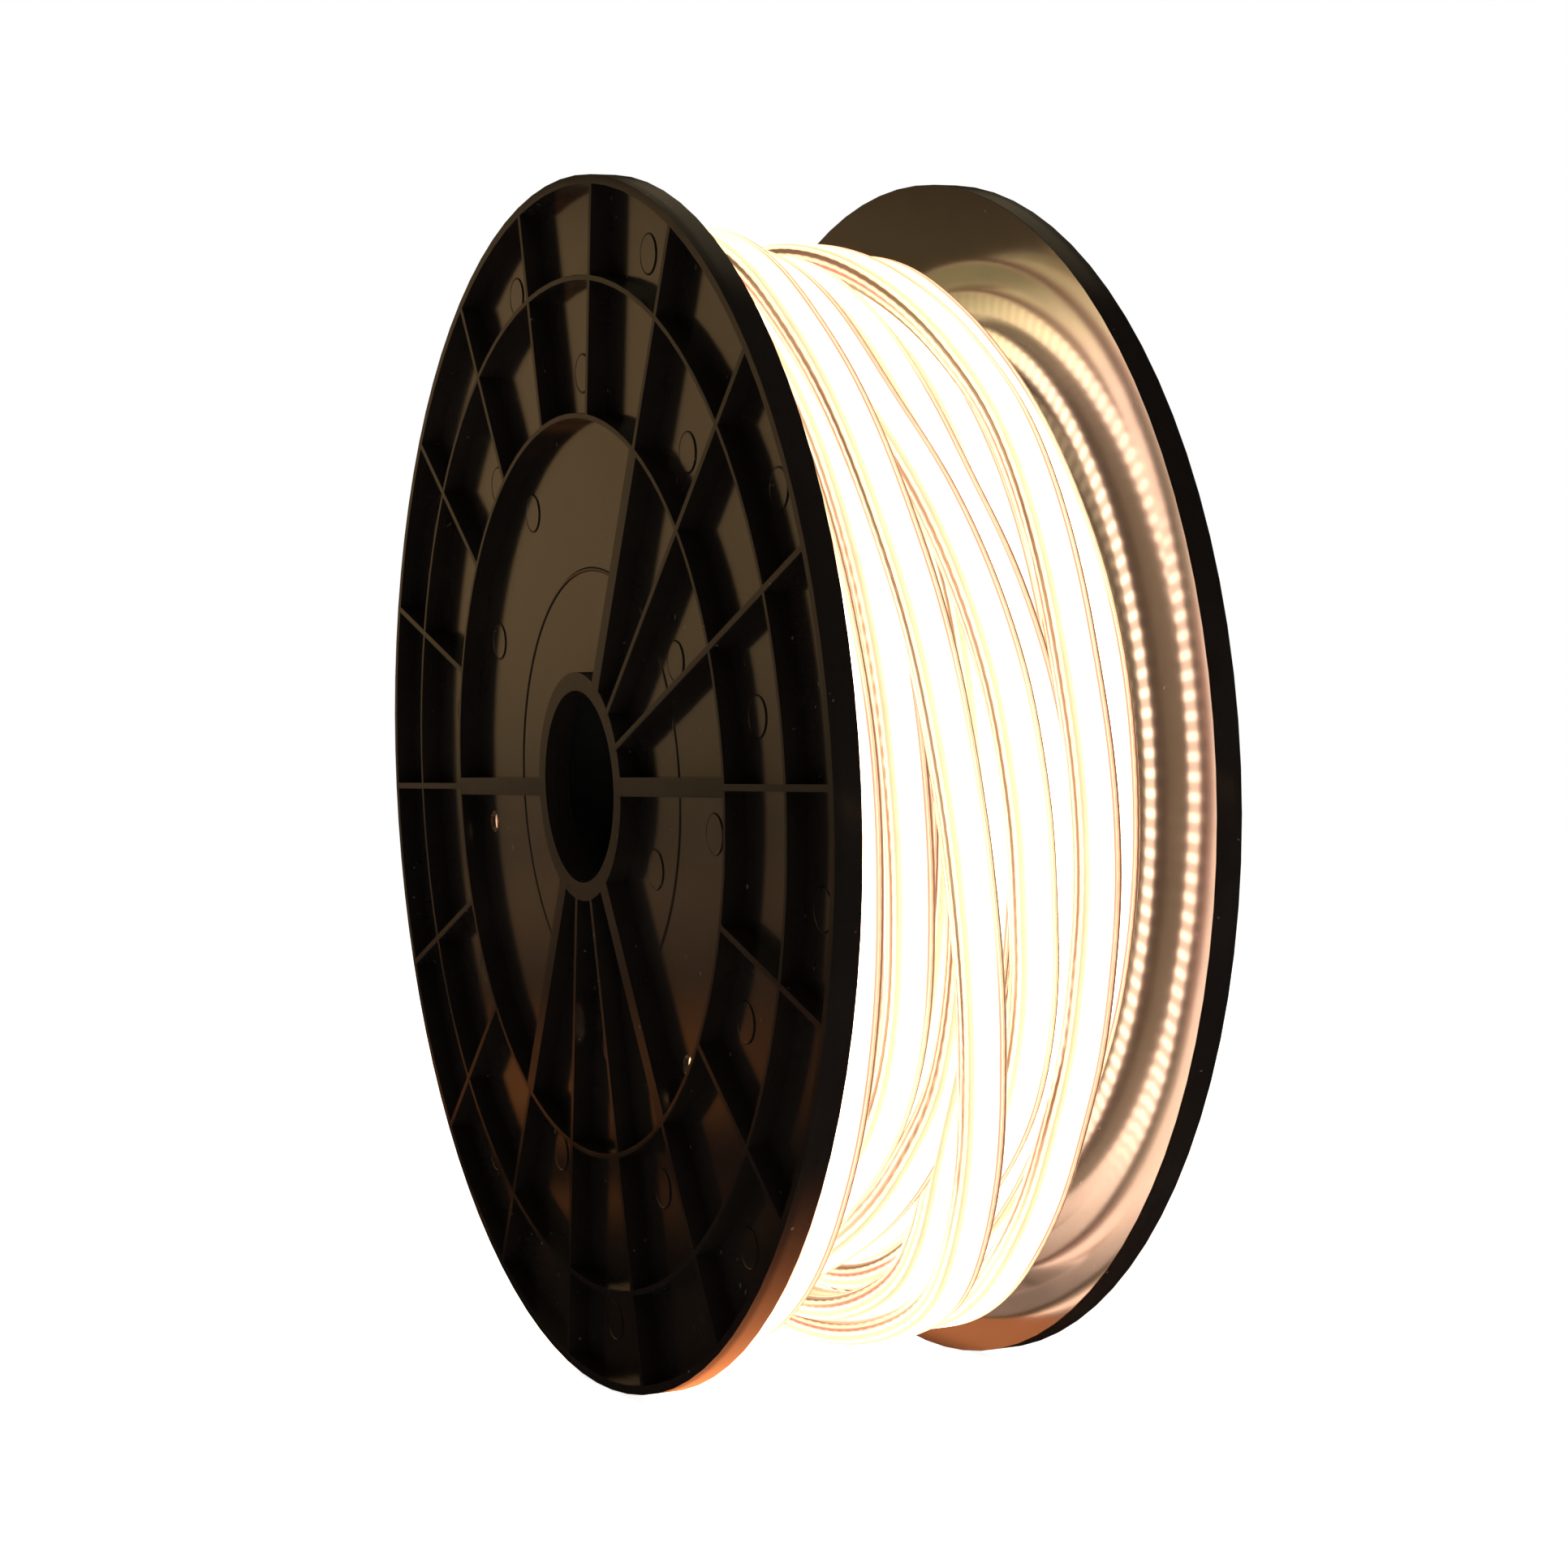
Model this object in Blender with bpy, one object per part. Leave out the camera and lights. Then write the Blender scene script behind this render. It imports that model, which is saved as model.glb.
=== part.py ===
"""LED rope light wound on its moulded spool.

The spool stands on its two rims with its axis along X. Metres, +Z up. The origin is on the
floor, midway between the flanges and straight below the axis.
"""

from math import asin, cos, pi, radians, sin

import bmesh
import bpy
from mathutils import Vector

# Spool
SPOOL_DIAMETER = 0.300
CLEAR_WIDTH = 0.086
BORE_DIAMETER = 0.0478
RIM_SEGMENTS = 90

# Flange moulding
FLOOR_THICK = 0.0015
RIB_HEIGHT = 0.005
LIP_WIDTH = 0.0022
HUB_WALL = 0.0046
INNER_RING_DIAMETER = 0.1836
OUTER_RING_DIAMETER = 0.2508
RING_WALL = 0.0013
THIN_RIB = 0.0016
WIDE_RIB = 0.0046
RIB_PITCH = 20
HUB_RIBS = ((0, WIDE_RIB), (20, THIN_RIB), (40, THIN_RIB), (60, WIDE_RIB), (180, WIDE_RIB),
            (240, WIDE_RIB), (260, THIN_RIB), (280, THIN_RIB), (300, WIDE_RIB))
HOLES = ((0.080, 187, 0.006), (0.065, 271.5, 0.0115), (0.084, 308, 0.006))
HOLE_SEGMENTS = 12
CUT_OVERRUN = 0.004

# Core tube on the flanges' spigots
CORE_DIAMETER = 0.108
CORE_WALL = 0.003
SPIGOT_WALL = 0.003
SPIGOT_LENGTH = 0.008
CORE_SEGMENTS = 48

# Wound rope
LAYER_PITCH = 0.0069
TOP_TURNS = ((0.134, 11.1), (0.197, 11.2), (0.317, 12.0), (0.436, 11.0), (0.545, 11.3),
             (0.669, 12.0), (0.778, 11.3), (0.875, 11.7), (1.000, 10.2))
TURN_GROOVE = 0.003
TURN_SHOULDER = 0.002
END_GROOVE = 0.0008
WINDING_SEGMENTS = 40

# Gap between pieces that touch
CLEARANCE = 0.0003

RIM_RADIUS = SPOOL_DIAMETER / 2
BORE_RADIUS = BORE_DIAMETER / 2
HUB_RADIUS = BORE_RADIUS + HUB_WALL
INNER_RING = INNER_RING_DIAMETER / 2
OUTER_RING = OUTER_RING_DIAMETER / 2
LIP_RADIUS = RIM_RADIUS - LIP_WIDTH
FLANGE_THICK = FLOOR_THICK + RIB_HEIGHT
CORE_RADIUS = CORE_DIAMETER / 2
SPIGOT_RADIUS = CORE_RADIUS - CORE_WALL - CLEARANCE
WINDING_BORE = CORE_RADIUS + CLEARANCE
INNER_HALF = CLEAR_WIDTH / 2 - CLEARANCE
SPOOL_HALF = CLEAR_WIDTH / 2 + FLANGE_THICK
RIM_STEP = 2 * pi / RIM_SEGMENTS
AXIS_HEIGHT = RIM_RADIUS * cos(RIM_STEP / 2)


def material(name, colour, roughness, metallic=0.0, glow=0.0):
    """A Principled material, with an optional light of its own."""
    made = bpy.data.materials.new(name)
    made.use_nodes = True
    shader = made.node_tree.nodes["Principled BSDF"]
    shader.inputs["Base Color"].default_value = (*colour, 1.0)
    shader.inputs["Roughness"].default_value = roughness
    shader.inputs["Metallic"].default_value = metallic
    shader.inputs["Emission Color"].default_value = (*colour, 1.0)
    shader.inputs["Emission Strength"].default_value = glow
    made.diffuse_color = (*colour, 1.0)
    return made


def new_object(name, build, finish):
    """An object whose mesh the function `build` fills in an empty bmesh."""
    mesh = bpy.data.meshes.new(name)
    shape = bmesh.new()
    build(shape)
    bmesh.ops.recalc_face_normals(shape, faces=shape.faces)
    shape.to_mesh(mesh)
    shape.free()
    mesh.shade_smooth()
    mesh.set_sharp_from_angle(angle=radians(30))
    made = bpy.data.objects.new(name, mesh)
    made.data.materials.append(finish)
    bpy.context.scene.collection.objects.link(made)
    return made


def turned(shape, profile, segments):
    """Spin a closed profile of (along the axis, radius) points about the X axis."""
    points = [shape.verts.new((along, radius, 0.0)) for along, radius in profile]
    edges = [shape.edges.new((points[k - 1], points[k])) for k in range(len(points))]
    bmesh.ops.spin(shape, geom=points + edges, cent=(0, 0, 0), axis=(1, 0, 0), angle=2 * pi,
                   steps=segments, use_merge=True, use_duplicate=False)


def prism(shape, outline, bottom, top):
    """Extrude an outline of (y, z) points along X, from `bottom` to `top`."""
    base = shape.faces.new([shape.verts.new((bottom, y, z)) for y, z in outline])
    grown = bmesh.ops.extrude_face_region(shape, geom=[base])["geom"]
    moved = [item for item in grown if isinstance(item, bmesh.types.BMVert)]
    bmesh.ops.translate(shape, verts=moved, vec=(top - bottom, 0, 0))


def polar(radius, angle):
    """The flange point at a radius and an angle: 0 is towards -Y, a quarter turn is up."""
    return (-radius * cos(angle), radius * sin(angle))


def arc(radius, start, start_rib, end, end_rib):
    """Points along a pocket's ring wall, from one rib's side to the next one's."""
    first = start + asin(start_rib / 2 / radius)
    last = end - asin(end_rib / 2 / radius)
    corners = [k * RIM_STEP for k in range(round(start / RIM_STEP) + 1, round(end / RIM_STEP))]
    between = [a for a in corners if first < a < last]
    return [polar(radius, a) for a in (first, *between, last)]


def pocket_ring(shape, inner, outer, ribs):
    """Cut outlines between two ring walls, one for each gap between neighbouring ribs."""
    for k, (start, start_rib) in enumerate(ribs):
        end, end_rib = ribs[(k + 1) % len(ribs)]
        turn = 360 if end <= start else 0
        sides = (radians(start), start_rib, radians(end + turn), end_rib)
        outline = arc(outer, *sides) + arc(inner, *sides)[::-1]
        prism(shape, outline, -CUT_OVERRUN, RIB_HEIGHT)


def pockets(shape):
    """The cutter of every pocket of the ribbed face."""
    even_ribs = [(angle, THIN_RIB) for angle in range(0, 360, RIB_PITCH)]
    half_ring = RING_WALL / 2
    pocket_ring(shape, HUB_RADIUS, INNER_RING - half_ring, HUB_RIBS)
    pocket_ring(shape, INNER_RING + half_ring, OUTER_RING - half_ring, even_ribs)
    pocket_ring(shape, OUTER_RING + half_ring, LIP_RADIUS, even_ribs)


def holes(shape):
    """The cutter of the small holes through the floor, each a (radius, angle, diameter)."""
    steps = [2 * pi * k / HOLE_SEGMENTS for k in range(HOLE_SEGMENTS)]
    for radius, angle, diameter in HOLES:
        centre = Vector(polar(radius, radians(angle)))
        outline = [centre + diameter / 2 * Vector((cos(a), sin(a))) for a in steps]
        prism(shape, outline, -CUT_OVERRUN, FLANGE_THICK + CUT_OVERRUN)


def flange_blank(shape):
    """The disc with its bore, and the spigot that the core tube sits on."""
    spigot_end = FLANGE_THICK + SPIGOT_LENGTH
    spigot_inside = SPIGOT_RADIUS - SPIGOT_WALL
    turned(shape, [(0, BORE_RADIUS), (0, RIM_RADIUS), (FLANGE_THICK, RIM_RADIUS),
                   (FLANGE_THICK, SPIGOT_RADIUS), (spigot_end, SPIGOT_RADIUS),
                   (spigot_end, spigot_inside), (FLANGE_THICK, spigot_inside),
                   (FLANGE_THICK, BORE_RADIUS)], RIM_SEGMENTS)


def core_tube(shape):
    """The plain tube between the flanges."""
    bore = CORE_RADIUS - CORE_WALL
    turned(shape, [(-INNER_HALF, bore), (-INNER_HALF, CORE_RADIUS),
                   (INNER_HALF, CORE_RADIUS), (INNER_HALF, bore)], CORE_SEGMENTS)


def end_rings(side, layers):
    """Points up one end of the winding: a shallow groove between each two layers."""
    points = []
    for layer in range(int(layers)):
        foot = WINDING_BORE + layer * LAYER_PITCH
        points.append((side * (INNER_HALF - END_GROOVE), foot))
        points.append((side * INNER_HALF, foot + LAYER_PITCH / 2))
    return points


def top_turns():
    """Points along the outermost turns: a flat crest for each, a groove between two.

    A turn is given as the share of the width where it ends and the layers it stands high.
    The real turns cross at a slant, so a crest has their mean height round the spool."""
    points = []
    start = -INNER_HALF
    for turn, (share, layers) in enumerate(TOP_TURNS):
        end = (2 * share - 1) * INNER_HALF
        crest = WINDING_BORE + layers * LAYER_PITCH
        points += [(start + TURN_SHOULDER, crest), (end - TURN_SHOULDER, crest)]
        if turn + 1 < len(TOP_TURNS):
            lower = min(layers, TOP_TURNS[turn + 1][1])
            points.append((end, WINDING_BORE + lower * LAYER_PITCH - TURN_GROOVE))
        start = end
    return points


def winding(shape):
    """The wound rope as one turned solid, with its bore and its turns."""
    left, right = end_rings(-1, TOP_TURNS[0][1]), end_rings(1, TOP_TURNS[-1][1])
    turned(shape, left + top_turns() + right[::-1], WINDING_SEGMENTS)


for old in list(bpy.data.objects):
    bpy.data.objects.remove(old, do_unlink=True)

black_plastic = material("black_plastic", (0.020, 0.017, 0.015), 0.22)
core_plastic = material("core_plastic", (0.030, 0.030, 0.030), 0.45)
lit_rope = material("lit_rope", (1.0, 0.90, 0.66), 0.30, glow=3.0)

spool = bpy.data.objects.new("spool_axis", None)
spool.location = (0, 0, AXIS_HEIGHT)
bpy.context.scene.collection.objects.link(spool)

pocket_cutter = new_object("pocket_cutter", pockets, black_plastic)
hole_cutter = new_object("hole_cutter", holes, black_plastic)
for name, side, turn in (("flange_left", -1, 0), ("flange_right", 1, pi)):
    flange = new_object(name, flange_blank, black_plastic)
    flange.parent = spool
    flange.location.x = side * SPOOL_HALF
    flange.rotation_euler.z = turn
    for cutter in (pocket_cutter, hole_cutter):
        copy = cutter.copy()
        copy.parent = flange
        copy.hide_render = True
        copy.display_type = "WIRE"
        bpy.context.scene.collection.objects.link(copy)
        cut = flange.modifiers.new(cutter.name, "BOOLEAN")
        cut.operation = "DIFFERENCE"
        cut.solver = "EXACT"
        cut.object = copy
for cutter in (pocket_cutter, hole_cutter):
    bpy.data.objects.remove(cutter, do_unlink=True)

core = new_object("core_tube", core_tube, core_plastic)
core.parent = spool
rope = new_object("rope_winding", winding, lit_rope)
rope.parent = spool
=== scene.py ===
# %% [markdown]
# # A lit rope light on its spool
#
# The object is a black moulded spool with two ribbed flanges. A flat rope of clear PVC is wound
# on it, with a row of warm white LEDs inside, and the rope is lit. The CAD model of the spool is
# loaded first and stays where it is. This script gives it its finish, winds the real rope in the
# place of the plain winding solid, and sets the light and the camera.

from math import cos, pi, radians, sin

import bmesh
import bpy
import numpy as np
from mathutils import Matrix, Vector


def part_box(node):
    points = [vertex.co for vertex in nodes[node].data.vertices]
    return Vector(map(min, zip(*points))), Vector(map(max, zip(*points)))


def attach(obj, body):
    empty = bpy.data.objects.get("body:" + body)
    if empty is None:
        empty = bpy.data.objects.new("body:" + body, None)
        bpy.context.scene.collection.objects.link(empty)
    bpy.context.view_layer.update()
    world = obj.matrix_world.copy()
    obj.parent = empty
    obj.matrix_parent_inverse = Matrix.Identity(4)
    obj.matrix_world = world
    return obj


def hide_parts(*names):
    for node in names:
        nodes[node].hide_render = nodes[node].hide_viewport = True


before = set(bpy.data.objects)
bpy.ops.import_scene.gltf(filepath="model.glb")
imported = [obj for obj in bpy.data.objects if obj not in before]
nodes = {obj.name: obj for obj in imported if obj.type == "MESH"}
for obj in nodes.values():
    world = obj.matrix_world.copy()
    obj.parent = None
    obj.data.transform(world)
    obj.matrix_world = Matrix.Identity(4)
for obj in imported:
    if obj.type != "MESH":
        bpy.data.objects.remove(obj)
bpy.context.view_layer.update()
print("CAD nodes:", sorted(nodes))

# %% [markdown]
# ## Sizes
#
# The spool's outer sizes are read back from the CAD model, so that the looks follow it. Only the
# depth of the pockets and the thickness of a flange are repeated here. The spool's axis runs
# along X. A place on the spool is given by its angle: 0 is towards the front (-Y), 90 is straight
# up, -90 straight down.

# %% Sizes read from the CAD model
MM = 0.001
flange_low, flange_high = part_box("flange_left")
AXIS_HEIGHT = (flange_low.z + flange_high.z) / 2
RIM_RADIUS = (flange_high.y - flange_low.y) / 2
OUTER_FACE = -flange_low.x
FLOOR_DEPTH = 5 * MM
FLANGE_THICK = 6.5 * MM
INNER_FACE = OUTER_FACE - FLANGE_THICK
print(f"rim radius {RIM_RADIUS:.4f}, axis at {AXIS_HEIGHT:.4f}, faces at {OUTER_FACE:.4f}")

# %% [markdown]
# ## Shader maths as Python
#
# A material is a graph of nodes. Wiring each Math node by hand hides the idea behind the wires,
# so one small class wraps a socket and gives it Python's operators: `1 - mask * 2` adds the two
# Math nodes by itself. Every other node comes from one method, which takes the node's type, its
# settings and the values or links of its sockets.

# %% The socket class and the graph
class Socket:
    """An output socket that takes part in Python expressions."""

    def __init__(self, graph, output):
        self.graph, self.output = graph, output

    def maths(self, operation, *others):
        """A Math node on this socket and up to two more."""
        return self.graph.node("ShaderNodeMath", {"operation": operation},
                               dict(enumerate((self, *others))))

    def __add__(self, other): return self.maths("ADD", other)
    def __sub__(self, other): return self.maths("SUBTRACT", other)
    def __mul__(self, other): return self.maths("MULTIPLY", other)
    def __truediv__(self, other): return self.maths("DIVIDE", other)
    def __rsub__(self, other): return (self * -1).maths("ADD", other)
    __radd__, __rmul__ = __add__, __mul__

    def step(self, low, high, first=0.0, last=1.0):
        """A smooth step from `first` to `last` as the value goes from low to high."""
        return self.graph.node("ShaderNodeMapRange", {"interpolation_type": "SMOOTHSTEP"},
                               {"Value": self, "From Min": low, "From Max": high,
                                "To Min": first, "To Max": last}, "Result")


class Graph:
    """The nodes of one material, light or world."""

    def __init__(self, tree):
        self.tree = tree
        tree.nodes.clear()

    def node(self, kind, settings=None, sockets=None, out=0):
        """Add a node: its settings first, then its sockets. Returns one of its outputs."""
        made = self.tree.nodes.new(kind)
        for name, value in (settings or {}).items():
            if name == "stops":
                ramp = made.color_ramp
                for k, (place, colour) in enumerate(value):
                    stop = ramp.elements[k] if k < 2 else ramp.elements.new(place)
                    stop.position, stop.color = place, (*colour, 1.0)
            else:
                setattr(made, name, value)
        for name, value in (sockets or {}).items():
            self.feed(made.inputs[name], value)
        return Socket(self, made.outputs[out]) if len(made.outputs) else made

    def feed(self, socket, value):
        """Link a Socket into an input, or set the input's own value."""
        if isinstance(value, Socket):
            self.tree.links.new(value.output, socket)
        elif socket.type == "RGBA" and len(value) == 3:
            socket.default_value = (*value, 1.0)
        else:
            socket.default_value = value

    def noise(self, place, scale, detail=3.0, roughness=0.55, out="Fac"):
        """A noise between 0 and 1 at a place."""
        return self.node("ShaderNodeTexNoise", {}, {"Vector": place, "Scale": scale,
                         "Detail": detail, "Roughness": roughness}, out)

    def mix(self, factor, first, last):
        """A colour between two colours."""
        return self.node("ShaderNodeMix", {"data_type": "RGBA"},
                         {0: factor, 6: first, 7: last}, 2)

    def vector(self, operation, *values, out="Vector"):
        """A Vector Math node."""
        return self.node("ShaderNodeVectorMath", {"operation": operation},
                         dict(enumerate(values)), out)

    def part(self, vector, axis):
        """The X, Y or Z of a vector."""
        return self.node("ShaderNodeSeparateXYZ", {}, {"Vector": vector}, axis)

    def off_axis(self, place):
        """The distance of a place from the spool's axis."""
        spoke = self.vector("MULTIPLY_ADD", place, (0.0, 1.0, 1.0), (0.0, 0.0, -AXIS_HEIGHT))
        return self.vector("LENGTH", spoke, out="Value")

    def bump(self, height, distance, strength=1.0):
        """A bumped normal from a height."""
        return self.node("ShaderNodeBump", {}, {"Strength": strength, "Distance": distance,
                         "Height": height}, "Normal")


def new_material(name, paint):
    """A Principled material. `paint` takes the graph and returns the shader's sockets."""
    made = bpy.data.materials.new(name)
    made.use_nodes = True
    graph = Graph(made.node_tree)
    shader = graph.node("ShaderNodeBsdfPrincipled", {}, paint(graph))
    graph.node("ShaderNodeOutputMaterial", {}, {"Surface": shader})
    print("material", name, "with", len(made.node_tree.nodes), "nodes")
    return made


# %% [markdown]
# ## The camera
#
# The photograph looks at the spool from the left of its front, almost level. The camera could be
# aimed at the spool by a constraint, but its place was found by fitting the circles of the
# flanges, roll included. So it is given here as a point, a direction and a small roll. A camera in
# Blender looks along its own -Z, and its three axes are put straight into its matrix.

# %% Camera
CAMERA_PLACE = Vector((-0.33877, -0.77134, 0.16518))
CAMERA_AZIMUTH, CAMERA_ELEVATION, CAMERA_ROLL = radians(24.115), radians(-1.165), radians(-2.391)
CAMERA_LENS = 75.88

look = Vector((cos(CAMERA_ELEVATION) * sin(CAMERA_AZIMUTH),
               cos(CAMERA_ELEVATION) * cos(CAMERA_AZIMUTH), sin(CAMERA_ELEVATION)))
level = look.cross(Vector((0, 0, 1))).normalized()
above = level.cross(look)
camera_x = level * cos(CAMERA_ROLL) + above * sin(CAMERA_ROLL)
camera_y = above * cos(CAMERA_ROLL) - level * sin(CAMERA_ROLL)

camera = bpy.data.objects.new("camera", bpy.data.cameras.new("camera"))
camera.data.lens = CAMERA_LENS
camera.data.sensor_width = 36.0
camera.data.clip_start = 0.01
axes = Matrix((camera_x, camera_y, -look)).transposed()
camera.matrix_world = Matrix.Translation(CAMERA_PLACE) @ axes.to_4x4()
bpy.context.scene.collection.objects.link(camera)
bpy.context.scene.camera = camera
print("camera at", tuple(round(v, 3) for v in CAMERA_PLACE), "lens", CAMERA_LENS)

# %% [markdown]
# ## Black moulded plastic
#
# The flanges are glossy black plastic, warm where they catch light. A moulding is never quite
# flat: the surface waves a little over each pocket, and it carries fine dust and handling haze.
# The waves are a bump from a wide noise, and the haze lifts the roughness in soft patches, so the
# reflections break up as they do on the real part. The colour stays almost black throughout.
#
# The gloss is a clear coat over a dull black. It is full on the pocket floors and on the smooth
# inner face. It is thin on the tops of the ribs, which are scuffed by handling, and on the ribs'
# flanks, which leave the tool with fine drag marks.
#
# The edges are softened by modifiers, which leave the CAD mesh as it is. A bevel rounds them, and
# weighted normals keep the large flat faces flat in the reflections.

# %% Black plastic
BLACK = (0.0055, 0.0042, 0.0034)
HAZY_BLACK = (0.011, 0.0085, 0.0070)
DUST = (0.10, 0.085, 0.065)
FULL_COAT, RIB_TOP_LOSS, FLANK_LOSS = 0.95, 0.75, 0.9
WELD_DISTANCE = 0.01 * MM
EDGE_WIDTH = 0.22 * MM


def paint_black_plastic(graph):
    place = graph.node("ShaderNodeTexCoord", {}, {}, "Object")
    waves = graph.noise(place, 28.0, 2.0)
    grain = graph.noise(place, 900.0, 2.0)
    haze = graph.noise(place, 16.0, 5.0, 0.65).step(0.42, 0.75)
    specks = graph.noise(place, 420.0, 1.0).step(0.76, 0.82)
    colour = graph.mix(haze * 0.6, BLACK, HAZY_BLACK)
    dusty = graph.mix(specks * 0.5, colour, DUST)
    along = graph.part(place, "X").maths("ABSOLUTE")
    rib_top = along.step(OUTER_FACE - 3.0 * MM, OUTER_FACE - 1.0 * MM)
    facing = graph.node("ShaderNodeNewGeometry", {}, {}, "Normal")
    inside = graph.off_axis(place).step(RIM_RADIUS - 1.5 * MM, RIM_RADIUS - 0.8 * MM, 1.0, 0.0)
    flank = graph.part(facing, "X").maths("ABSOLUTE").step(0.3, 0.7, 1.0, 0.0) * inside
    return {"Base Color": dusty, "Roughness": 0.15 + haze * 0.07 + specks * 0.25,
            "Specular IOR Level": 0.12,
            "Coat Weight": (FULL_COAT - rib_top * RIB_TOP_LOSS) * (1 - flank * FLANK_LOSS),
            "Coat Roughness": 0.13, "Coat IOR": 1.5,
            "Normal": graph.bump(waves + grain * 0.012, 0.0011, 0.35)}


black_plastic = new_material("black_plastic_finish", paint_black_plastic)


def give_finish(node, finish):
    """Put a finish on a CAD node in place of its own."""
    node.data.materials.clear()
    node.data.materials.append(finish)


def soften_edges(node):
    """Round a CAD node's edges by modifiers. The mesh itself isn't changed."""
    join = node.modifiers.new("join", "WELD")
    join.merge_threshold = WELD_DISTANCE
    soften = node.modifiers.new("soft_edges", "BEVEL")
    soften.width, soften.segments = EDGE_WIDTH, 2
    soften.limit_method, soften.angle_limit = "ANGLE", radians(40)
    soften.use_clamp_overlap = True
    level_shade = node.modifiers.new("level_shade", "WEIGHTED_NORMAL")
    level_shade.weight = 100


for side in ("flange_left", "flange_right"):
    give_finish(nodes[side], black_plastic)
    soften_edges(nodes[side])

# %% [markdown]
# ## Ejector marks and the ring by the hub
#
# The pins that push a moulding out of its tool leave shallow round marks on the pocket floors,
# and a low ring runs round the hub. A bump could paint them, but then their edges would not catch
# the light from the side. So they are real: thin discs with a soft edge, and a low ring, on the
# floors of both flanges. MARKS holds the radius in millimetres and the angle of each: one in
# every second pocket of the two outer rings, and a few by the hub.

# %% Ejector marks
MARK_RADIUS, MARK_HEIGHT = 5.0 * MM, 0.3 * MM
MARKS = ([(134.5, 28.7 + 40 * k) for k in range(9)] + [(102.5, 8.7 + 40 * k) for k in range(9)]
         + [(80.2, 118.3), (78.5, 150.5), (75.0, -8.4), (62.4, 28.0), (42.0, -28.5)])
HUB_STEP_RADIUS, HUB_STEP_WIDTH = 54.0 * MM, 1.2 * MM


def floor_point(side, radius, angle, proud, y=0.0, z=0.0):
    """A point on a flange's pocket floor, moved out of it and sideways."""
    turn = radians(angle)
    return Vector((side * (OUTER_FACE - FLOOR_DEPTH + proud),
                   side * (radius * cos(turn) + y), AXIS_HEIGHT + radius * sin(turn) + z))


def ejector_mark(shape, side, radius, angle, steps=28):
    """A thin dished disc with a soft lip."""
    levels = ((1.0, 0.0), (0.985, 0.6), (0.955, 1.0), (0.93, 1.0), (0.90, 0.7))
    rings = []
    for size, lift in levels:
        rings.append([shape.verts.new(floor_point(
            side, radius, angle, lift * MARK_HEIGHT,
            size * MARK_RADIUS * cos(2 * pi * k / steps),
            size * MARK_RADIUS * sin(2 * pi * k / steps))) for k in range(steps)])
    for low, high in zip(rings, rings[1:]):
        for k in range(steps):
            shape.faces.new((low[k - 1], low[k], high[k], high[k - 1]))
    shape.faces.new(rings[-1])


def hub_step(shape, side, steps=120):
    """A low rounded ring round the hub."""
    half = HUB_STEP_WIDTH / 2
    profile = ((-half, 0.0), (-half * 0.6, 0.7), (0.0, 1.0), (half * 0.6, 0.7), (half, 0.0))
    rings = [[shape.verts.new(floor_point(side, HUB_STEP_RADIUS + out, 360 * k / steps,
                                          lift * MARK_HEIGHT)) for k in range(steps)]
             for out, lift in profile]
    for low, high in zip(rings, rings[1:]):
        for k in range(steps):
            shape.faces.new((low[k - 1], low[k], high[k], high[k - 1]))


for name, side in (("left", -1), ("right", 1)):
    shape = bmesh.new()
    for radius, angle in MARKS:
        ejector_mark(shape, side, radius * MM, angle)
    hub_step(shape, side)
    bmesh.ops.recalc_face_normals(shape, faces=shape.faces)
    for face in shape.faces:
        face.smooth = len(face.verts) == 4
    mesh = bpy.data.meshes.new(f"ejector_marks_{name}")
    shape.to_mesh(mesh)
    shape.free()
    mesh.materials.append(black_plastic)
    marks = bpy.data.objects.new(mesh.name, mesh)
    bpy.context.scene.collection.objects.link(marks)
    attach(marks, "root")
    print(marks.name, len(mesh.polygons), "faces")

# %% [markdown]
# ## The rope's section and sweep
#
# The rope is flat: about 10.5 mm wide and 6.5 mm thick with rounded corners. It is made as a
# sweep: one closed section is carried along a route, and each step of the route gets its own
# copy. A Blender curve with a bevel object would do the same with less code, but it twists freely
# on a spool, while here the section has to lie flat on the layer under it at every step. The UV
# map counts LEDs along the rope and goes once round the section across it, so a material knows
# where on the rope it is.

# %% Section and sweep
ROPE_WIDTH, ROPE_THICK, ROPE_CORNER = 10.5 * MM, 6.5 * MM, 1.6 * MM
LED_PITCH = 4.6 * MM


def rope_section(width, thick, corner, corner_steps=3):
    """Points (across, outward) round the rope, from the middle of its inner face."""
    points = [(0.0, -thick / 2)]
    for centre_x, centre_y, start in ((-1, -1, 270), (-1, 1, 180), (1, 1, 90), (1, -1, 0)):
        middle = (centre_x * (width / 2 - corner), centre_y * (thick / 2 - corner))
        for k in range(corner_steps + 1):
            turn = radians(start - 90 * k / corner_steps)
            points.append((middle[0] + corner * cos(turn), middle[1] + corner * sin(turn)))
        if (centre_x, centre_y) == (-1, 1):
            points.append((0.0, thick / 2))
    return np.array(points)


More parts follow.
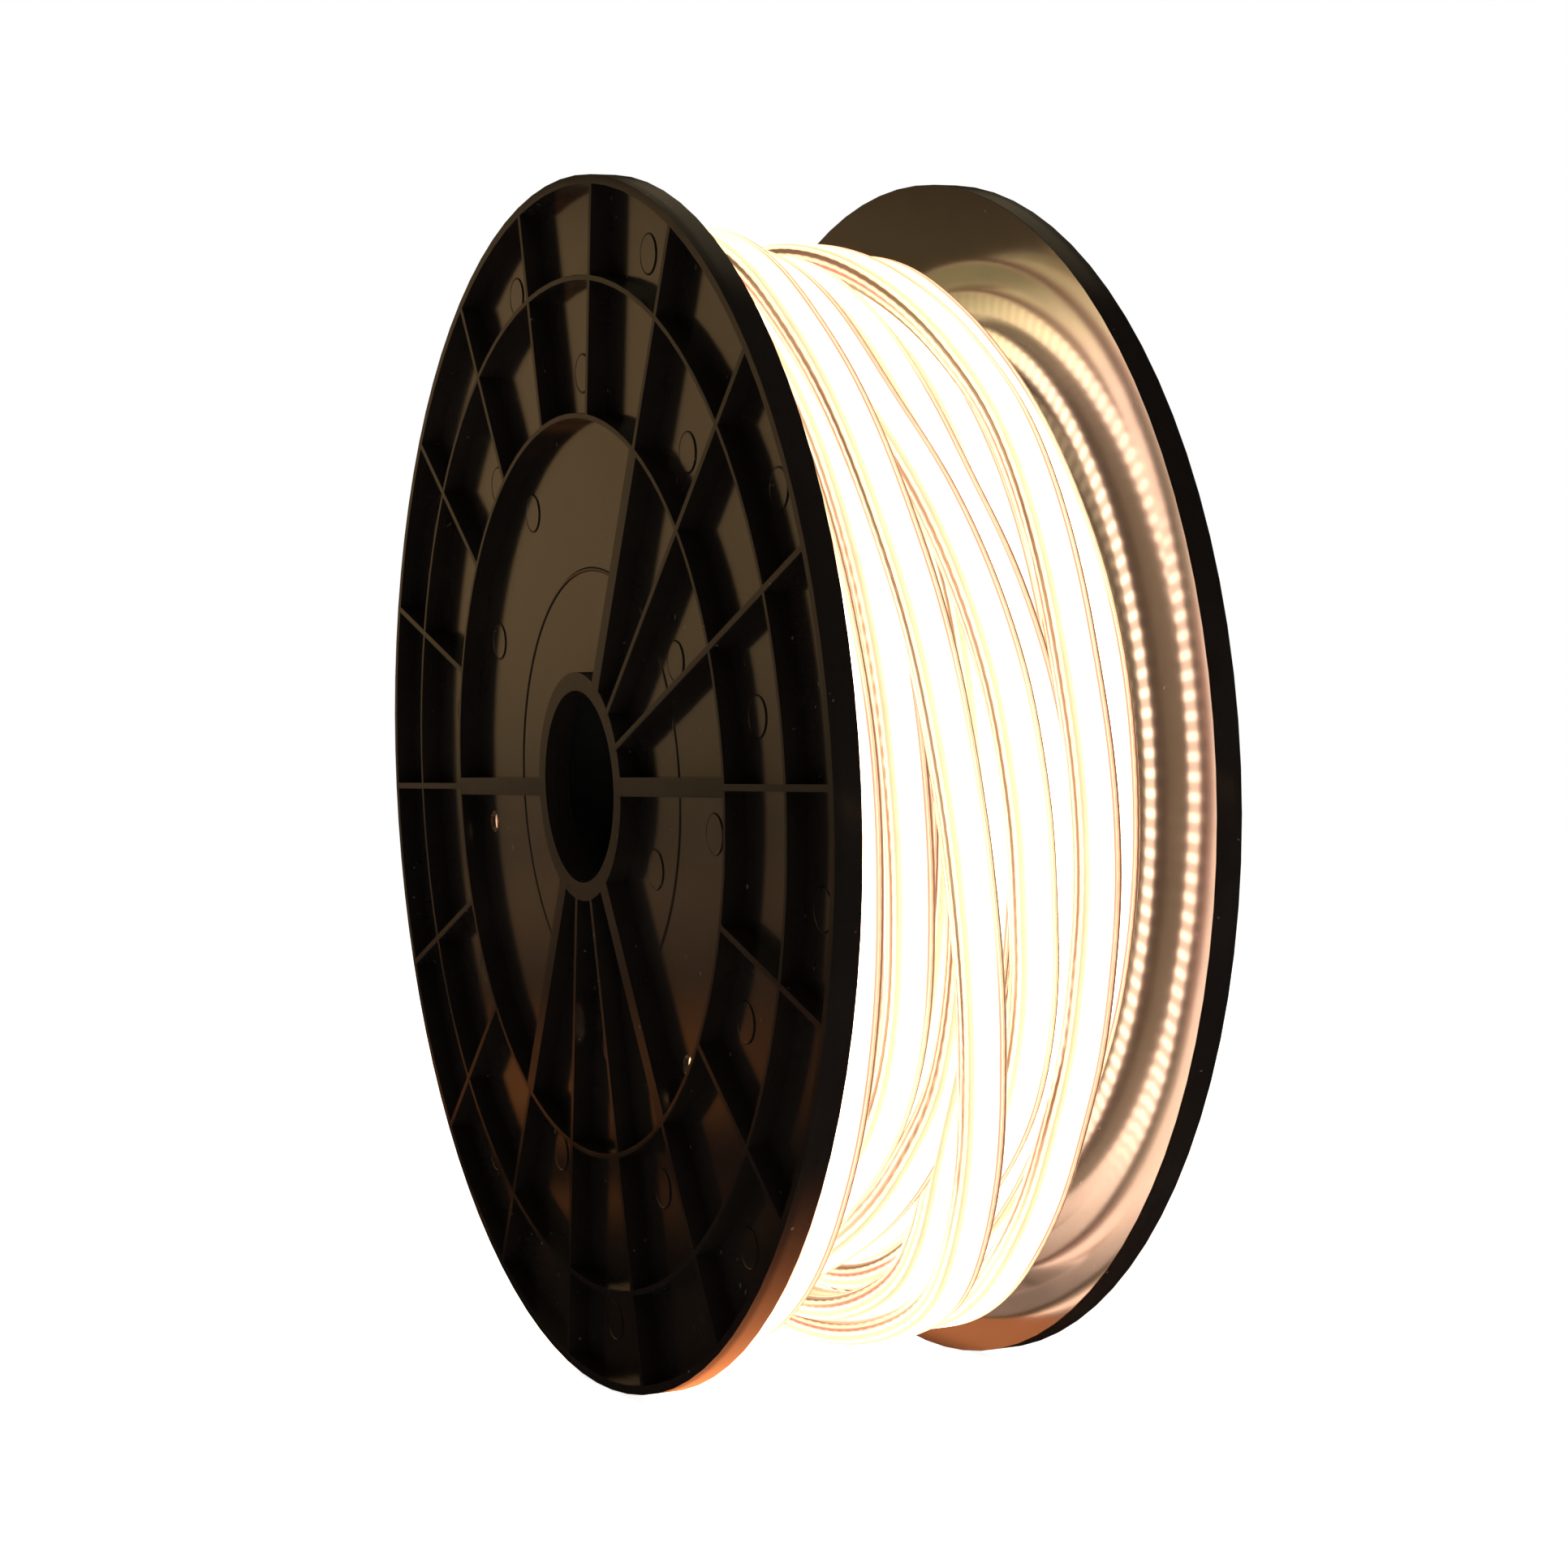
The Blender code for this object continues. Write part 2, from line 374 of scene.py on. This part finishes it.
def sweep(shape, section, route, lit=1.0):
    """Carry a section along a route of (x, radius of its middle, angle) steps.

    The faces are added to the bmesh, with UV in LEDs and section share. `lit` is one number, or
    one for each point of the section. It lets the finish dim a whole turn or a side of it."""
    x, radius, angle = np.asarray(route, float).T
    turn = np.radians(angle)
    outward = np.stack([0 * x, -np.cos(turn), np.sin(turn)], 1)
    centre = outward * radius[:, None] + np.stack([x, 0 * x, 0 * x + AXIS_HEIGHT], 1)
    along = np.gradient(centre, axis=0)
    step_length = np.linalg.norm(np.diff(centre, axis=0), axis=1)
    length = np.concatenate([[0.0], np.cumsum(step_length)])
    along /= np.linalg.norm(along, axis=1)[:, None]
    across = np.array([1.0, 0.0, 0.0]) - along * along[:, :1]
    across /= np.linalg.norm(across, axis=1)[:, None]
    lift = np.cross(across, along)
    lift *= np.sign((lift * outward).sum(1))[:, None]
    rings = (centre[:, None] + across[:, None] * section[None, :, :1]
             + lift[:, None] * section[None, :, 1:])
    edge = np.linalg.norm(np.roll(section, -1, 0) - section, axis=1)
    share = np.concatenate([[0.0], np.cumsum(edge)]) / edge.sum()
    count = len(section)
    brightness = shape.verts.layers.float.get("lit") or shape.verts.layers.float.new("lit")
    uv = shape.loops.layers.uv.verify()
    verts = [[shape.verts.new(p) for p in ring] for ring in rings]
    for ring in verts:
        for vert, strength in zip(ring, np.broadcast_to(lit, count)):
            vert[brightness] = strength
    for j in range(len(rings) - 1):
        for k in range(count):
            after = (k + 1) % count
            corners = ((j, k), (j, after), (j + 1, after), (j + 1, k))
            face = shape.faces.new([verts[a][b] for a, b in corners])
            face.smooth = True
            shares = (share[k], share[k + 1], share[k + 1], share[k])
            for loop, (a, _), s in zip(face.loops, corners, shares):
                loop[uv].uv = (length[a] / LED_PITCH, s)
    for end in (0, -1):
        shape.faces.new(verts[end])


def swept_piece(name, section, routes, finish):
    """One object that holds a sweep along each of several (route, brightness) pairs."""
    shape = bmesh.new()
    for route, lit in routes:
        sweep(shape, section, route, lit)
    bmesh.ops.recalc_face_normals(shape, faces=shape.faces)
    mesh = bpy.data.meshes.new(name)
    shape.to_mesh(mesh)
    shape.free()
    mesh.materials.append(finish)
    made = bpy.data.objects.new(name, mesh)
    bpy.context.scene.collection.objects.link(made)
    print(name, len(mesh.polygons), "faces")
    return made


# %% [markdown]
# ## Where the outer turns lie
#
# Real rope isn't wound in neat rings. The outer turns cross each other at a slant, one climbs
# over its neighbours, and the gaps between them show the turns below. So each visible turn has
# its own line of stations: angle round the spool, place along the axis and outer radius, all in
# degrees and millimetres. The stations come from the turns' edges as seen from the front. The
# back of each turn isn't seen there: it runs smoothly from the end of one turn to the start of
# the next, so that the rope is continuous.

# %% Stations of the outer turns
TURNS = {
    "A": ((100, -37.3, 131), (60, -37.1, 131), (28, -36.6, 131), (14, -35.6, 131),
          (4, -34.6, 131.5), (-11, -34.2, 133), (-27, -32.6, 134.5), (-44, -30.6, 136.5),
          (-56, -28.3, 137.8), (-66, -26.4, 138.8), (-80, -23.5, 140.5), (-100, -20, 141)),
    "B": ((100, -26, 131), (60, -25.6, 131), (28, -24.6, 131), (0, -22.2, 131),
          (-13.7, -20.4, 131), (-23, -18.7, 131), (-31.5, -18, 131), (-37, -18.6, 131),
          (-41.3, -19.8, 131), (-46, -22, 131), (-54, -24.5, 130.8), (-62, -29, 130.8),
          (-72, -34, 131), (-85, -37, 131), (-100, -37.3, 131)),
    "C": ((100, -21, 138), (80, -21, 138), (67, -22.5, 138), (51, -23.4, 138),
          (41, -22.2, 138), (31, -21, 138), (24, -19.7, 138), (15, -17, 138), (2, -13.7, 138),
          (-10, -9.5, 138), (-20, -5.4, 138.5), (-29, -1.7, 139.5), (-37, 2.2, 140.5),
          (-50, 8.1, 142), (-60, 12.6, 143.5), (-68, 14.3, 144.3), (-80, 12.8, 144.6),
          (-100, 10, 144.4)),
    "F": ((100, -13, 134), (67, -12.8, 134), (47, -12.7, 134), (41, -12.2, 134.5),
          (36, -10.6, 135.2), (30, -8, 136.5), (22, -4.7, 137.5), (17, -2.6, 138),
          (8.5, 1, 138), (0.6, 3, 138), (-4, 4.4, 138), (-12, 5.9, 138), (-20, 9, 137),
          (-28, 11, 136), (-34, 12.2, 135), (-41, 12.6, 133.5), (-47, 12.4, 132),
          (-56, 12.5, 131), (-68, 14, 131), (-100, 16, 131)),
    "K": ((100, -2, 131.5), (60, -2, 131.5), (44, -1, 131.5), (31, 1.4, 131.3),
          (22, 5.9, 131.2), (10, 10.9, 131), (-3, 14.6, 131), (-20, 17, 131),
          (-40, 18.5, 131), (-100, 20, 131), (-180, 20, 124.3)),
    "G": ((100, 8.5, 134.5), (80, 8.5, 134.5), (67, 11.5, 134.5), (60, 13.4, 134.5),
          (53, 15, 135), (45, 16.2, 136), (39, 17.8, 136.8), (33, 18.1, 137.3),
          (27, 18.1, 137.8), (10.5, 18.6, 138), (-1, 20.6, 138), (-11, 22, 138),
          (-20, 22.6, 138), (-28, 23.4, 138.6), (-36, 23.2, 139.5), (-42, 24.2, 140.3),
          (-49, 25.2, 141), (-55, 26, 141.5), (-61, 27.5, 142), (-75, 30.3, 142.8),
          (-90, 31, 143), (-100, 31, 143)),
    "H": ((100, 22.5, 132), (70, 22.7, 131.8), (60, 23, 131.2), (48, 24.4, 131),
          (38, 26, 131), (28, 27.2, 131), (20, 28.7, 131), (10, 29.7, 131),
          (-11, 30.3, 131), (-26, 30.1, 131), (-35, 29, 131), (-60, 28, 131),
          (-100, 28, 131), (-180, 28, 124.3)),
    "D": ((60, -4, 124.3), (40, -3, 126), (20, -2, 130.5), (-20, -1, 131), (-38, -0.3, 132.5),
          (-45, 1.6, 133.5), (-50, 3.7, 134.5), (-57, 6, 136), (-63, 8, 137),
          (-70, 8.5, 137.5), (-80, 8, 138), (-100, 7, 138)),
    "E": ((40, -9, 124.3), (20, -8, 124.3), (0, -6, 127), (-15, -4.5, 130),
          (-26.7, -3.8, 131), (-35, -3.9, 131.5), (-39, -6, 132), (-46, -9, 133),
          (-50, -11, 133), (-54, -13, 132.5), (-60, -16, 131.3), (-70, -22, 131),
          (-80, -26, 131), (-100, -27, 131)),
}
CHAINS = ("EBACGH", "DFK")
ROUTE_STEP = 1.5
SMOOTHING = 4


def route_of(chain):
    """The smooth route through the stations of several turns, one after the other."""
    stations = np.array([(angle - 360 * k, x, outer)
                         for k, turn in enumerate(chain) for angle, x, outer in TURNS[turn]])
    stations = stations[np.argsort(-stations[:, 0])]
    angle = np.arange(stations[0, 0], stations[-1, 0], -ROUTE_STEP)
    weights = np.hanning(2 * SMOOTHING + 3)[1:-1]
    weights /= weights.sum()
    smooth = []
    for column in (1, 2):
        straight = np.interp(-angle, -stations[:, 0], stations[:, column])
        padded = np.pad(straight, SMOOTHING, mode="edge")
        smooth.append(np.convolve(padded, weights, mode="valid"))
    x, outer = np.array(smooth) * MM
    return np.stack([x, outer - ROPE_THICK / 2, angle], 1)


routes = [route_of(chain) for chain in CHAINS]
print("outer turns:", [len(route) for route in routes], "steps")

# %% [markdown]
# ## Lit PVC
#
# Lit, the rope is far brighter than anything else. Its outer face burns out to white. Towards the
# edges the clear jacket carries less light, and the colour falls from cream through salmon to a
# brown line where two turns meet. Each LED shows as a dot through the side walls. Small lamps
# inside real clear PVC would be the honest way, but thousands of them would render slowly and
# noisily. All that they show follows the section, so the light is in the finish: the strength is
# a ramp over the way round the section, with a dot at each LED, and it feeds the emission colour.
#
# The way is in millimetres: 0 is the middle of the outer face, and it grows to the right. Each
# stop of the ramp is a way and a strength: 1 shows as salmon, 2 as cream and 4 or more as white.
# So the dark lines, which are painted shade in the gaps where two turns meet, are the stops of
# about
# 0.24, and the two thin wires inside the jacket show copper.
#
# A few parts depend on the place on the spool, and they are painted light and shade. Near the top
# the faces are seen at a low angle: they are painted dimmer and yellower. At the foot a painted
# glow on the left wall stands for the light it fans out on the turn beside it. The right walls are
# only seen in the mirror of the far flange, and they carry painted shade at the top and foot.

# %% Lit PVC
GLOW = (1.0, 0.47, 0.27)
COPPER_GLOW = (1.0, 0.25, 0.17)
DIM_GLOW = (0.85, 0.60, 0.32)
FACE_GLOW = (1.0, 0.62, 0.42)
TOP_GLOW = (1.0, 0.75, 0.32)
JACKET = (0.04, 0.025, 0.015)
BRIGHTEST = 60.0
# The third number below is a painted glow at the foot of the left wall
RIGHT_LEDS, LEFT_LEDS, PAINTED_FOOT_GLOW = 0.23, 0.004, 0.03
# WALL_SHADE is painted shade on the right walls at their top and foot
WALL_SHADE = 0.85
SECTION_LENGTH = 31.3
# The stops of about 0.24 are painted shade in the gaps where two turns meet
GLOW_STOPS = ((-11.0, 0.5), (-10.2, 0.24), (-9.8, 0.24), (-9.5, 2.0), (-8.9, 2.4), (-8.6, 1.0),
              (-8.2, 1.0), (-7.9, 2.6), (-7.3, 2.2), (-6.9, 0.25), (-6.0, 0.22), (-5.7, 2.2),
              (-5.0, 3.4), (-4.7, 1.5), (-4.2, 1.9), (-3.6, 2.4), (-3.1, 4.0), (-2.6, 8.0),
              (1.9, 8.0), (2.5, 3.4), (2.9, 2.2), (3.1, 1.2), (3.3, 3.2), (3.65, 2.4),
              (3.8, 0.6), (3.95, 2.0), (4.15, 1.2), (4.3, 0.24), (5.3, 0.22), (5.8, 10.0),
              (12.2, 10.0), (12.8, 0.8))


def glow_ramp(graph, way):
    """The share of the brightest light at a distance across, from the left wall to the right."""
    grey = [(0.5 + place / SECTION_LENGTH, (strength / BRIGHTEST,) * 3)
            for place, strength in GLOW_STOPS]
    return graph.node("ShaderNodeValToRGB", {"stops": grey}, {0: way / SECTION_LENGTH + 0.5})


def near(way, place, first, last):
    """1 close to a place across the section, falling to 0."""
    return (way - place).maths("ABSOLUTE").step(first, last, 1.0, 0.0)


def paint_lit_rope(graph):
    uv = graph.node("ShaderNodeTexCoord", {}, {}, "UV")
    place = graph.node("ShaderNodeTexCoord", {}, {}, "Object")
    lit = graph.node("ShaderNodeAttribute", {"attribute_name": "lit"}, {}, "Fac")
    count, share, height = graph.part(uv, "X"), graph.part(uv, "Y"), graph.part(place, "Z")
    way = (share - 0.5) * SECTION_LENGTH

    # Unevenness: streaks and ripples along the jacket, and a slow drift of the strip inside it
    streaks = graph.noise(graph.vector("MULTIPLY", uv, (0.05, 60.0, 1.0)), 1.0, 3.0)
    ripple = graph.noise(graph.vector("MULTIPLY", uv, (0.45, 8.0, 1.0)), 1.0, 2.0)
    drift = graph.noise(graph.vector("MULTIPLY", uv, (0.03, 0.0, 1.0)), 1.0, 1.0)
    wander = (streaks - 0.5) * 0.45 + (drift - 0.5) * 1.1

    # The LEDs: a dot at each on both side walls. On the right wall painted shade hides them at the
    # foot and where other turns lie against the wall
    beat = (count.maths("FRACT") - 0.5).maths("ABSOLUTE")
    dot = beat.step(0.06, 0.36, 1.0, 0.0)
    covered = graph.off_axis(place).step(124.2 * MM, 124.8 * MM) * height.step(0.19, 0.215)
    right_dots = (near(way, 8.9, 3.0, 3.6) * RIGHT_LEDS * (1 - covered)
                  * height.step(0.045, 0.075))
    dots = dot * (right_dots + near(way, -8.3, 0.3, 1.2) * LEFT_LEDS)

    # The strength: the ramp with its lines of painted shade, stronger on the face, with the dots
    # and a painted glow at the foot, and with painted shade on the right wall
    # Near the top the faces are painted dimmer and yellower, as they look when seen at a low angle
    high = height.step(0.235, 0.280)
    face = way.maths("ABSOLUTE").step(2.0, 3.4, 1.0, 0.0)
    wall = way.step(5.3, 5.8)
    open_wall = height.step(0.015, 0.06) * height.step(0.245, 0.275, 1.0, 0.0)
    body = (glow_ramp(graph, way * (1 - dot * 0.012) + wander)
            * (0.85 + ripple * 0.3) * (1 + face * (0.2 - high * 0.85)))
    # A painted glow at the foot of the left wall, for the light it fans out on the turn beside it
    painted_foot_glow = near(way, -6.5, 0.9, 1.3) * height.step(0.03, 0.07, 1.0, 0.0) * PAINTED_FOOT_GLOW
    strength = (body + dots + painted_foot_glow) * (1 - wall * (1 - open_wall) * WALL_SHADE) * lit

    # The hue: copper at the wires, painted yellower at the top, and dull on the dimmed turns
    wire = (near(way, -8.4, 0.35, 0.55) + near(way, 3.1, 0.2, 0.4)) * drift.step(0.38, 0.5)
    edge_hue = graph.mix(drift.step(0.42, 0.55, 0.8, 0.0), GLOW, DIM_GLOW)
    open_hue = graph.mix(face + wall, edge_hue, graph.mix(high, FACE_GLOW, TOP_GLOW))
    hue = graph.mix(lit, DIM_GLOW, graph.mix(wire, open_hue, COPPER_GLOW))
    return {"Base Color": JACKET, "Roughness": 0.18, "Specular IOR Level": 0.15,
            "Emission Color": graph.node("ShaderNodeVectorMath", {"operation": "SCALE"},
                                         {0: hue, "Scale": strength}),
            "Emission Strength": BRIGHTEST}


lit_rope = new_material("lit_pvc", paint_lit_rope)
section = rope_section(ROPE_WIDTH, ROPE_THICK, ROPE_CORNER)
outer_rope = swept_piece("rope_outer_turns", section, [(r, 1.0) for r in routes], lit_rope)
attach(outer_rope, "root")
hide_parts("rope_winding")

# %% [markdown]
# ## The layers below
#
# Under the crossing turns lies a neat layer, wound side by side, which shows through the gaps. It
# is straight from the top over the front to the foot, which is FRONT_SHARE of a turn, and its
# turns step over at the back. Its last turn is a ring of its own.
#
# Of the layers below that one only the ends can be seen, mirrored in the flanges. A helix for
# each would add faces that nobody sees, so each of them is made as its two end turns. On the far
# side they stop short of the flange by FAR_GAP. One layer stands PROUD of the others there and
# leans back from the flange at its top and foot, and only its side wall is in full light. The
# layers under it lie in its shade: DIM_LAYERS gives their light.

# %% Lower layers
LAYER_PITCH = 6.9 * MM
CORE_RADIUS = 54.3 * MM
FAR_GAP = 8.2 * MM
NEAT_TURNS = 6
FRONT_SHARE = 0.56
NEAT_OUTER = 124.2 * MM
NEAR_GAP, NEAT_GAP = 0.4 * MM, 13.0 * MM
DEEP_LAYERS = 9
DIM_LAYERS = {5: 0.2, 6: 0.15, 7: 0.15}
PROUD_LAYER, PROUD, LEAN = 8, 3.2 * MM, 8.1 * MM
START_ANGLE = 100.0
SHADED = 0.1


def ease(value, low, high):
    """A smooth step from 0 to 1 as the value goes from low to high."""
    share = np.clip((value - low) / (high - low), 0, 1)
    return share * share * (3 - 2 * share)


def neat_layer(outer, turns, start, end):
    """Turns side by side from one place along the axis to another. They step over at the back,
    where the first turn climbs from the layer below and the last one sinks into it."""
    angle = np.arange(START_ANGLE + 360 * (1 - FRONT_SHARE), START_ANGLE - 360 * turns, -3.0)
    whole, part = np.divmod((START_ANGLE - angle) / 360, 1.0)
    stepped = np.clip(whole + ease(part, FRONT_SHARE, 1.0), 0, turns - 1)
    sunk = np.where(whole < 0, 1 - ease(part, 0.85, 1.0),
                    np.where(whole == turns - 1, ease(part, FRONT_SHARE, 0.71), 0.0))
    return np.stack([start + (end - start) / (turns - 1) * stepped,
                     outer - ROPE_THICK / 2 - sunk * LAYER_PITCH, angle], 1)


def ring(outer, x, lean=0.0):
    """One closed turn. It can lean away from x at its top and foot, and is at x at the back."""
    angle = np.linspace(180, -180, 121)
    place = x - lean * (1 - np.cos(np.radians(angle))) * (1 - ease(np.abs(angle), 75, 180))
    return np.stack([place, 0 * angle + outer - ROPE_THICK / 2, angle], 1)


LEFT_END = ROPE_WIDTH / 2 - INNER_FACE
RIGHT_END = INNER_FACE - FAR_GAP - ROPE_WIDTH / 2
NEAT_END = INNER_FACE - NEAT_GAP - ROPE_WIDTH / 2
WALL_LIT = np.where(section[:, 0] > ROPE_WIDTH / 2 - 0.05 * MM, 1.0, SHADED)
neat = neat_layer(NEAT_OUTER, NEAT_TURNS, LEFT_END + NEAR_GAP, NEAT_END - ROPE_WIDTH)
lower = [(neat, 1.0), (ring(NEAT_OUTER, NEAT_END), 1.0)]
for layer in range(DEEP_LAYERS):
    outer = CORE_RADIUS + (layer + 1) * LAYER_PITCH - 0.2 * MM
    left_unevenness, right_unevenness = (layer % 3 + 0.6) * MM, (layer * 3 % 4) * 0.4 * MM
    lower.append((ring(outer, LEFT_END + left_unevenness), 1.0))
    if layer == PROUD_LAYER:
        lower.append((ring(outer, RIGHT_END + PROUD, LEAN), WALL_LIT))
    else:
        lower.append((ring(outer, RIGHT_END - right_unevenness), DIM_LAYERS.get(layer, 1.0)))
lower_rope = swept_piece("rope_lower_layers", section, lower, lit_rope)
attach(lower_rope, "root")

# %% [markdown]
# ## The core tube
#
# Inside the bore only the dark core tube shows. Its CAD shape is right, so it stays. It could
# share the flanges' finish, but the inside of a spool is never polished: without a clear coat, and
# with a mottle in the colour, the roughness and the bump, it stays dull and grey in its shadow.

# %% Core tube
def paint_core(graph):
    place = graph.node("ShaderNodeTexCoord", {}, {}, "Object")
    mottle = graph.noise(place, 60.0, 4.0)
    return {"Base Color": graph.mix(mottle, (0.018, 0.017, 0.016), (0.035, 0.033, 0.031)),
            "Roughness": 0.42 + mottle * 0.15, "Normal": graph.bump(mottle, 0.0004, 0.4)}


give_finish(nodes["core_tube"], new_material("core_finish", paint_core))

# %% [markdown]
# ## Floor, world and light
#
# The picture has a plain white ground. The floor is a pale disc that fades into the white world.
# The black plastic is glossy and shows what stands around it, so reflections get their own, dim
# and warm surroundings, as in a room that only the rope lights. In reflections the floor is dark,
# with a lane of warm light behind the spool on the left and an orange glow right under the rope.
# The world is dark there too, with one softly lit wall and a faint ceiling. Two soft lamps, above
# and in front, bring out the ribs.

# %% Stage
FLOOR_SIZE = 3.0
FLOOR_DROP = 0.4 * MM
NEAR_TABLE, FAR_TABLE = (0.012, 0.006, 0.003), (0.22, 0.12, 0.055)
LANE_LIGHT, ROPE_LIGHT = (0.36, 0.12, 0.03), (2.6, 0.78, 0.26)
DARK_ROOM, CEILING, WALL = (0.012, 0.008, 0.006), (0.16, 0.13, 0.08), (0.37, 0.235, 0.11)
WHITE = (1.0, 1.0, 1.0)
floor_mesh = bpy.data.meshes.new("floor")
shape = bmesh.new()
bmesh.ops.create_circle(shape, cap_ends=True, radius=FLOOR_SIZE, segments=96)
shape.to_mesh(floor_mesh)
shape.free()
floor = bpy.data.objects.new("floor", floor_mesh)
floor.location.z = -FLOOR_DROP
bpy.context.scene.collection.objects.link(floor)


def floor_nodes(tree):
    """White for the eye, warm and dim near the spool for reflections."""
    graph = Graph(tree)
    path = graph.node("ShaderNodeLightPath", {}, {}, "Is Glossy Ray")
    place = graph.node("ShaderNodeNewGeometry", {}, {}, "Position")
    away = graph.vector("LENGTH", place, out="Value")
    across, behind = graph.part(place, "X"), graph.part(place, "Y")
    patches = graph.noise(place, 4.0, 2.0).step(0.42, 0.58)
    lane = (away.step(0.22, 0.45) * away.step(0.8, 1.5, 1.0, 0.0) * patches
            * behind.step(0.05, 0.25) * across.step(-0.10, 0.0, 1.0, 0.0)
            * (behind * 0.41 + across * 0.91).step(-0.09, -0.01, 0.35, 1.0))
    distant = graph.mix(away.step(0.8, 2.4), NEAR_TABLE, FAR_TABLE)
    table = graph.mix(lane, distant, LANE_LIGHT)
    under = (across.maths("ABSOLUTE").step(0.03, 0.05, 1.0, 0.0)
             * behind.maths("ABSOLUTE").step(0.04, 0.15, 1.0, 0.0))
    warm = graph.node("ShaderNodeEmission", {}, {
        "Color": graph.mix(under, table, ROPE_LIGHT), "Strength": 1.0})
    pale = graph.node("ShaderNodeBsdfPrincipled", {}, {
        "Base Color": (0.9, 0.9, 0.9), "Roughness": 0.9,
        "Emission Color": WHITE, "Emission Strength": 0.92})
    both = graph.node("ShaderNodeMixShader", {}, {0: path, 1: pale, 2: warm})
    graph.node("ShaderNodeOutputMaterial", {}, {"Surface": both})


floor_material = bpy.data.materials.new("pale_floor")
floor_material.use_nodes = True
floor_nodes(floor_material.node_tree)
floor_mesh.materials.append(floor_material)

world = bpy.data.worlds.new("surroundings")
bpy.context.scene.world = world
world.use_nodes = True
sky = Graph(world.node_tree)
direction = sky.node("ShaderNodeTexCoord", {}, {}, "Generated")
aside, depth, height = (sky.part(direction, axis) for axis in "XYZ")
wall = (depth.step(0.2, 0.7) * aside.step(-0.1, 0.2, 1.0, 0.0) * height.step(-0.09, 0.05)
        * height.step(0.157, 0.167, 1.0, 0.0))
ceiling = depth.step(0.1, 0.4) * height.step(0.25, 0.6)
room = sky.mix(wall, sky.mix(ceiling, DARK_ROOM, CEILING), WALL)
to_camera = sky.node("ShaderNodeLightPath", {}, {}, "Is Camera Ray")
seen = sky.mix(to_camera, room, WHITE)
sky.node("ShaderNodeOutputWorld", {}, {
    "Surface": sky.node("ShaderNodeBackground", {}, {"Color": seen, "Strength": 1.0})})


LAMP_COLOUR = (1.0, 0.95, 0.88)
LAMP_TARGET = Vector((0, 0, 0.15))


def soft_lamp(name, place, size, power):
    """A square area lamp that points at the spool. It isn't seen in reflections."""
    lamp = bpy.data.objects.new(name, bpy.data.lights.new(name, "AREA"))
    lamp.data.shape, lamp.data.size = "SQUARE", size
    lamp.data.energy, lamp.data.color = power, LAMP_COLOUR
    lamp.location = place
    lamp.rotation_euler = (LAMP_TARGET - Vector(place)).to_track_quat("-Z", "Y").to_euler()
    lamp.visible_glossy = False
    bpy.context.scene.collection.objects.link(lamp)
    print(name, "at", place, "with", power, "W")


soft_lamp("front_lamp", (-0.2, -1.6, 1.5), 1.2, 20.0)
soft_lamp("top_lamp", (0.3, 0.2, 2.2), 1.6, 25.0)

scene = bpy.context.scene
scene.view_settings.view_transform = "Standard"
scene.view_settings.look = "None"
